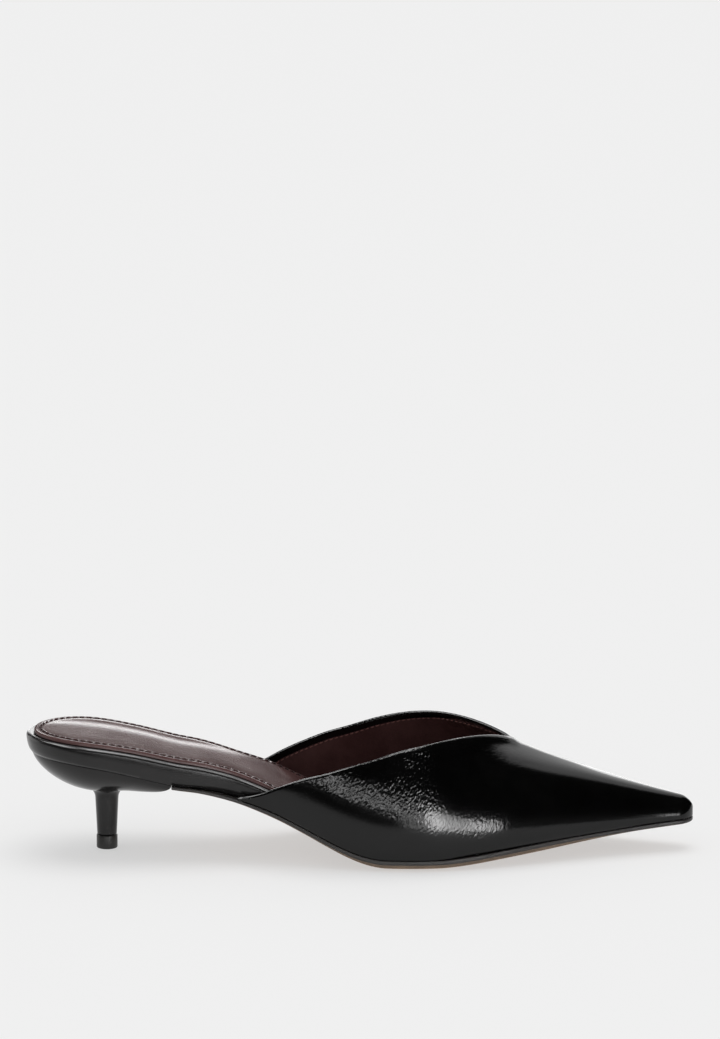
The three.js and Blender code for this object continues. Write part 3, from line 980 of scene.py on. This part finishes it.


# Outsole: black waxed edge, tan underside, and below the edge a strip of tan darkened with painted
# shade
def sole_crown(x, across):
    past = max(abs(across) - SOLE_FLAT_SHARE, 0.0) / (1 - SOLE_FLAT_SHARE)
    return (shaded_strip_foot(1.0)(x) - sole_middle(x)) * (1 - past * past)


def shaded_strip_foot(share):
    """The strip of the sole's own leather that shows below the waxed edge under the ball. Its
    darker tan is painted shade.
    """
    def at(x):
        under = ease(x, *SHADED_STRIP_GROWS) * (1 - ease(x, *SHADED_STRIP_FADES))
        return sole_edge_under(x) + SHADED_STRIP_START - share * (SHADED_STRIP_START + SHADED_STRIP_DEPTH * under)

    return at


sole_levels = [
    (0.35, sole_top, None, 0),
    (0.1, above(sole_top, -0.1), None, 0),
    (0.0, above(sole_top, -0.35), None, 0),
    (0.0, above(sole_edge_under, 0.55), None, 0),
    (0.08, above(sole_edge_under, 0.3), None, 0),
    # Material 2 is the strip below the waxed edge, a darker tan that is painted shade.
    (0.25, shaded_strip_foot(0.0), None, 2),
    (0.6, shaded_strip_foot(0.8), None, 2),
    (1.1, shaded_strip_foot(1.0), sole_crown, 1),
]
sole_leather = piece(
    "sole_leather",
    board(sole_levels, BREAST_AT + 0.05, SHOE_LENGTH, 120, 28, round_back=False),
    [sole_wax, sole_tan, sole_strip_painted_shade],
    "outsole",
    35,
)


# Heel: seat, bowl, neck and peg in one lacquered moulding
def heel_work():
    work = start_mesh()

    def seat(along, across):
        turn = math.pi * (1 - along)
        x = SEAT_INSET + (BREAST_AT - SEAT_INSET) * (1 + math.cos(turn)) / 2
        ends = round_ends(x, SEAT_INSET, SHOE_LENGTH)
        half = (half_at(x / SHOE_LENGTH) - SEAT_INSET) * ends
        return Vector((x, shift(x) + across * half, sole_top(x)))

    def around(along, across, radius, z):
        point = seat(along, across)
        angle = math.atan2(point.y, point.x - PEG_AT)
        return Vector((PEG_AT + radius * math.cos(angle), radius * math.sin(angle), z))

    neck_radius = PEG_TOP + NECK_FILLET

    def bowl(turn):
        def at(along, across):
            rim = seat(along, across)
            fuller = 1 - BREAST_FULLNESS * ease(rim.x, BREAST_AT - BREAST_REACH, BREAST_AT)
            reach = max(math.cos(turn), 0.0) ** (2 * fuller / BOWL_ROUNDNESS)
            fall = math.sin(turn) ** (2 * fuller / BOWL_ROUNDNESS)
            point = around(along, across, neck_radius, NECK_HEIGHT).lerp(rim, reach)
            point.z = rim.z + (NECK_HEIGHT - rim.z) * fall
            return point

        return at

    def fillet(turn):
        radius = neck_radius - NECK_FILLET * math.sin(turn)
        z = NECK_HEIGHT - NECK_FILLET * (1 - math.cos(turn))
        return lambda along, across: around(along, across, radius, z)

    def peg(share):
        top = NECK_HEIGHT - NECK_FILLET
        z = top + (TIP_HEIGHT + SEAM_GAP - top) * share
        radius = PEG_TOP + (PEG_FOOT - PEG_TOP) * share
        return lambda along, across: around(along, across, radius, z)

    mapped_grid(work, 40, 22, seat)
    weld(work)
    ring = open_edges(work)
    for level, whole, count in ((bowl, math.pi / 2, 24), (fillet, math.pi / 2, 8), (peg, 1.0, 6)):
        for k in range(1, count + 1):
            ring = pull_level(work, ring, level(whole * k / count))
    bmesh.ops.edgeloop_fill(work, edges=ring)
    close_and_face_out(work)
    return work


heel_block = piece("heel_block", heel_work(), [lacquer], "heel", 50)


def tip_work():
    """The top piece: its profile turned about the peg."""
    profile = [
        (0.0, 0.0), (3.7, 0.0), (4.05, 0.12), (TIP_RADIUS, 0.5), (TIP_RADIUS, 2.6),
        (TIP_RADIUS, 5.2), (4.1, 5.6), (3.75, TIP_HEIGHT), (0.0, TIP_HEIGHT),
    ]
    work = bmesh.new()
    verts = [work.verts.new((PEG_AT + radius, 0, z)) for radius, z in profile]
    edges = [work.edges.new(pair) for pair in zip(verts, verts[1:])]
    bmesh.ops.spin(
        work, geom=[*verts, *edges], cent=(PEG_AT, 0, 0), axis=(0, 0, 1), angle=2 * math.pi,
        steps=48, use_merge=True,
    )
    close_and_face_out(work)
    return work


piece("top_piece", tip_work(), [tip_rubber], "heel_tip", 35)


# Stitches
def sew(name, paths, pitch, length, thickness, slant, material):
    """Stitches along paths of (point, outward direction) pairs."""
    work = bmesh.new()
    for path in paths:
        travelled, due = 0.0, pitch / 2
        for (here, out), (after, _) in zip(path, path[1:]):
            gap = (after - here).length
            while gap > 0 and travelled + gap >= due:
                point = here.lerp(after, (due - travelled) / gap)
                run = (after - here).normalized()
                run = Matrix.Rotation(slant, 3, out) @ run
                beside = out.cross(run).normalized()
                turned = Matrix((run, beside, out.normalized())).transposed().to_4x4()
                size = Matrix.Diagonal((length / 2, thickness / 2, thickness / 2, 1))
                bmesh.ops.create_uvsphere(
                    work, u_segments=6, v_segments=5, radius=1,
                    matrix=Matrix.Translation(point) @ turned @ size,
                )
                due += pitch
            travelled += gap
    return piece(name, work, [material], None, 80)


def insole_seam():
    """The loop of stitches inside the insole's edge."""
    inset = RIM_WIDTH + STITCH_INSET
    path = []
    for side, order in ((-1, 1), (1, -1)):
        run = []
        for k in range(401):
            turn = math.pi * k / 400
            middle = (FOOTBED_END - 2 * inset) * (1 - math.cos(turn)) / 2
            x = inset + middle
            ends = round_ends(x, inset, FOOTBED_END - inset)
            half = (half_at(x / SHOE_LENGTH) - inside_upper(x) - inset) * ends
            slope = (insole_top(x + 1) - insole_top(x - 1)) / 2
            out = Vector((-slope, 0, 1)).normalized()
            run.append((Vector((x, shift(x) + side * half, insole_top(x) - 0.02)), out))
        path += run[::order]
    return path


sew(
    "insole_stitches", [insole_seam()], pitch=3.0, length=2.9, thickness=0.95, slant=0.3,
    material=insole_thread,
)


def lining_seam(side):
    """The row of stitches just below the leather turned in behind the topline."""
    path = []
    last = THROAT - SEAM_SHORT[side]
    for k in range(301):
        s = SEAM_START + (last - SEAM_START) * k / 300
        here, out, beyond, radius, _ = fold_frame(s, side)
        down = radius + FOLD_BAND + SEAM_BELOW_BAND
        inward = LINING_DEPTH + SEAM_PROUD + tuck_depth(here.x, down / SIDE_LENGTH)
        path.append((here - out * inward - beyond * down, -out))
    return path


sew(
    "lining_stitches", [lining_seam(-1), lining_seam(1)], pitch=2.2, length=1.8, thickness=0.42,
    slant=0.1, material=lining_thread,
)


# Floor, lights and camera
LIT_PLACE = Vector((0.03, 0, 0.02))  # what every softbox faces
FLOOR_REACH, FLOOR_SPLIT = 30.0, -0.13  # the sheet before the split isn't mirrored in leather
PAPER_GREY, PAPER_GLOW = 0.37, 0.50
FILL_LIGHT, BACKDROP_LIGHT = 0.62, 0.877
WHITE = (1.0, 1.0, 1.0, 1.0)


def softbox(name, azimuth, elevation, width, height, radiance, spread=180.0, distance=1.1):
    """An area light that faces the shoe from a direction: 0 is the camera's side, 90 the toe's."""
    light = bpy.data.lights.new(name, "AREA")
    light.shape, light.size, light.size_y = "RECTANGLE", width, height
    half = math.radians(spread) / 2
    light.spread = 2 * half
    peak = 1.0 if spread >= 180 else math.tan(half) / (math.tan(half) - half)
    light.energy = radiance * math.pi * width * height / peak
    made = bpy.data.objects.new(name, light)
    turn, lift = math.radians(azimuth), math.radians(elevation)
    away = Vector((math.sin(turn), -math.cos(turn), math.tan(lift))).normalized()
    made.location = LIT_PLACE + away * distance
    made.rotation_mode = "QUATERNION"
    made.rotation_quaternion = away.to_track_quat("Z", "Y")
    made.visible_camera = False
    bpy.context.scene.collection.objects.link(made)
    return made


def floor_sheet(name, near, far, paper):
    work = bmesh.new()
    bmesh.ops.create_grid(work, x_segments=4, y_segments=4, size=FLOOR_REACH)
    bmesh.ops.scale(work, vec=(1, (far - near) / (2 * FLOOR_REACH), 1), verts=work.verts)
    bmesh.ops.translate(work, vec=(0, (far + near) / 2, 0), verts=work.verts)
    mesh = bpy.data.meshes.new(name)
    work.to_mesh(mesh)
    work.free()
    floor = bpy.data.objects.new(name, mesh)
    floor.location.z = -0.00005
    bpy.context.scene.collection.objects.link(floor)
    mesh.materials.append(paper)
    return floor


def studio():
    scene = bpy.context.scene
    paper = Finish("floor_paper", **{"Roughness": 0.9, "Specular IOR Level": 0.1})
    paper.shader.inputs["Base Color"].default_value = (PAPER_GREY, PAPER_GREY, PAPER_GREY, 1.0)
    paper.shader.inputs["Emission Color"].default_value = WHITE
    paper.shader.inputs["Emission Strength"].default_value = PAPER_GLOW
    floor = floor_sheet("floor", FLOOR_SPLIT, FLOOR_REACH, paper.material)
    front = floor_sheet("floor_front", -FLOOR_REACH, FLOOR_SPLIT, paper.material)
    front.visible_glossy = False
    front.visible_shadow = False

    world = bpy.data.worlds.new("studio")
    scene.world = world
    world.use_nodes = True
    bench = Bench(world.node_tree)
    world.node_tree.nodes.clear()
    ray = bench.add("ShaderNodeLightPath").outputs
    fill = bench.add("ShaderNodeBackground", {"Color": WHITE, "Strength": FILL_LIGHT})
    pale = bench.add("ShaderNodeBackground", {"Color": WHITE, "Strength": BACKDROP_LIGHT})
    shares = {0: ray["Is Camera Ray"], 1: fill.outputs[0], 2: pale.outputs[0]}
    seen = bench.add("ShaderNodeMixShader", shares).outputs[0]
    bench.add("ShaderNodeOutputWorld", {"Surface": seen})
    world.cycles_visibility.glossy = False

    sun = bpy.data.lights.new("overhead", "SUN")
    sun.energy, sun.angle = 1.28, math.radians(44)
    overhead = bpy.data.objects.new("overhead", sun)
    overhead.rotation_euler = (math.radians(-12), math.radians(4), 0)
    overhead.visible_glossy = False
    scene.collection.objects.link(overhead)

    def lit_by(name, objects, state):
        lit = bpy.data.collections.new(name)
        for held in objects:
            lit.objects.link(held)
        for entry in lit.collection_objects:
            entry.light_linking.link_state = state
        return lit

    whole_shoe = lit_by("whole_shoe", (floor, front), "EXCLUDE")
    but_insole = lit_by("all_but_insole", (floor, front, insole_sock), "EXCLUDE")
    black_parts = lit_by("black_parts", (vamp, footbed_rim, sole_leather, heel_block), "INCLUDE")
    rim_only = lit_by("rim_only", (footbed_rim,), "INCLUDE")
    insole_only = lit_by("insole_only", (insole_sock,), "INCLUDE")
    # Azimuth, elevation, width, height, radiance and spread; then the pieces that it lights.
    boxes = {
        softbox("key_box", 26, -3, 0.42, 0.36, 19.0, 34): whole_shoe,
        softbox("halo_box", 12, -4, 0.66, 0.26, 4.5, 60): whole_shoe,
        softbox("strip_box", -16, 2, 0.70, 0.07, 8.0): whole_shoe,
        softbox("back_low", 172, 8, 1.3, 0.50, 3.0): but_insole,
        softbox("back_high", 165, 33, 1.05, 0.66, 1.9, 80): but_insole,
        softbox("crown_box", 143, 54, 0.45, 0.26, 1.3, 60): but_insole,
        softbox("top_box", 0, 85, 0.45, 1.00, 10.0): black_parts,
        softbox("wing_box", -92, 57, 1.00, 0.40, 9.0): black_parts,
        softbox("rim_box", 92, 60, 1.00, 0.50, 7.0): rim_only,
        softbox("left_box", -120, 8, 0.80, 0.60, 1.2): but_insole,
        softbox("insole_box", 180, 28, 1.10, 0.15, 9.0): insole_only,
    }
    for box, lit in boxes.items():
        box.light_linking.receiver_collection = lit


def camera():
    """The photograph's view: level across, from a little above, the shoe low in the frame."""
    photo_height, floor_row, pixels_a_metre = 1039, 847, 2467.0
    elevation = math.radians(14.5)
    aim_height = 0.02
    target = Vector((0, 0, aim_height))
    target_row = floor_row - aim_height * pixels_a_metre * math.cos(elevation)
    data = bpy.data.cameras.new("camera")
    data.lens, data.sensor_width = 320.0, 36.0
    made = bpy.data.objects.new("camera", data)
    sensor_a_pixel = data.sensor_width / photo_height
    low = (target_row - photo_height / 2) * sensor_a_pixel / data.lens
    depth = data.lens / sensor_a_pixel / pixels_a_metre
    back = Vector((0, -math.cos(elevation), math.sin(elevation)))
    made.location = target + back * depth * math.sqrt(1 + low * low)
    made.rotation_euler = (math.pi / 2 - elevation + math.atan(low), 0, 0)
    data.clip_end = 100
    bpy.context.scene.collection.objects.link(made)
    bpy.context.scene.camera = made


studio()
camera()
bpy.context.scene.view_settings.view_transform = "Standard"
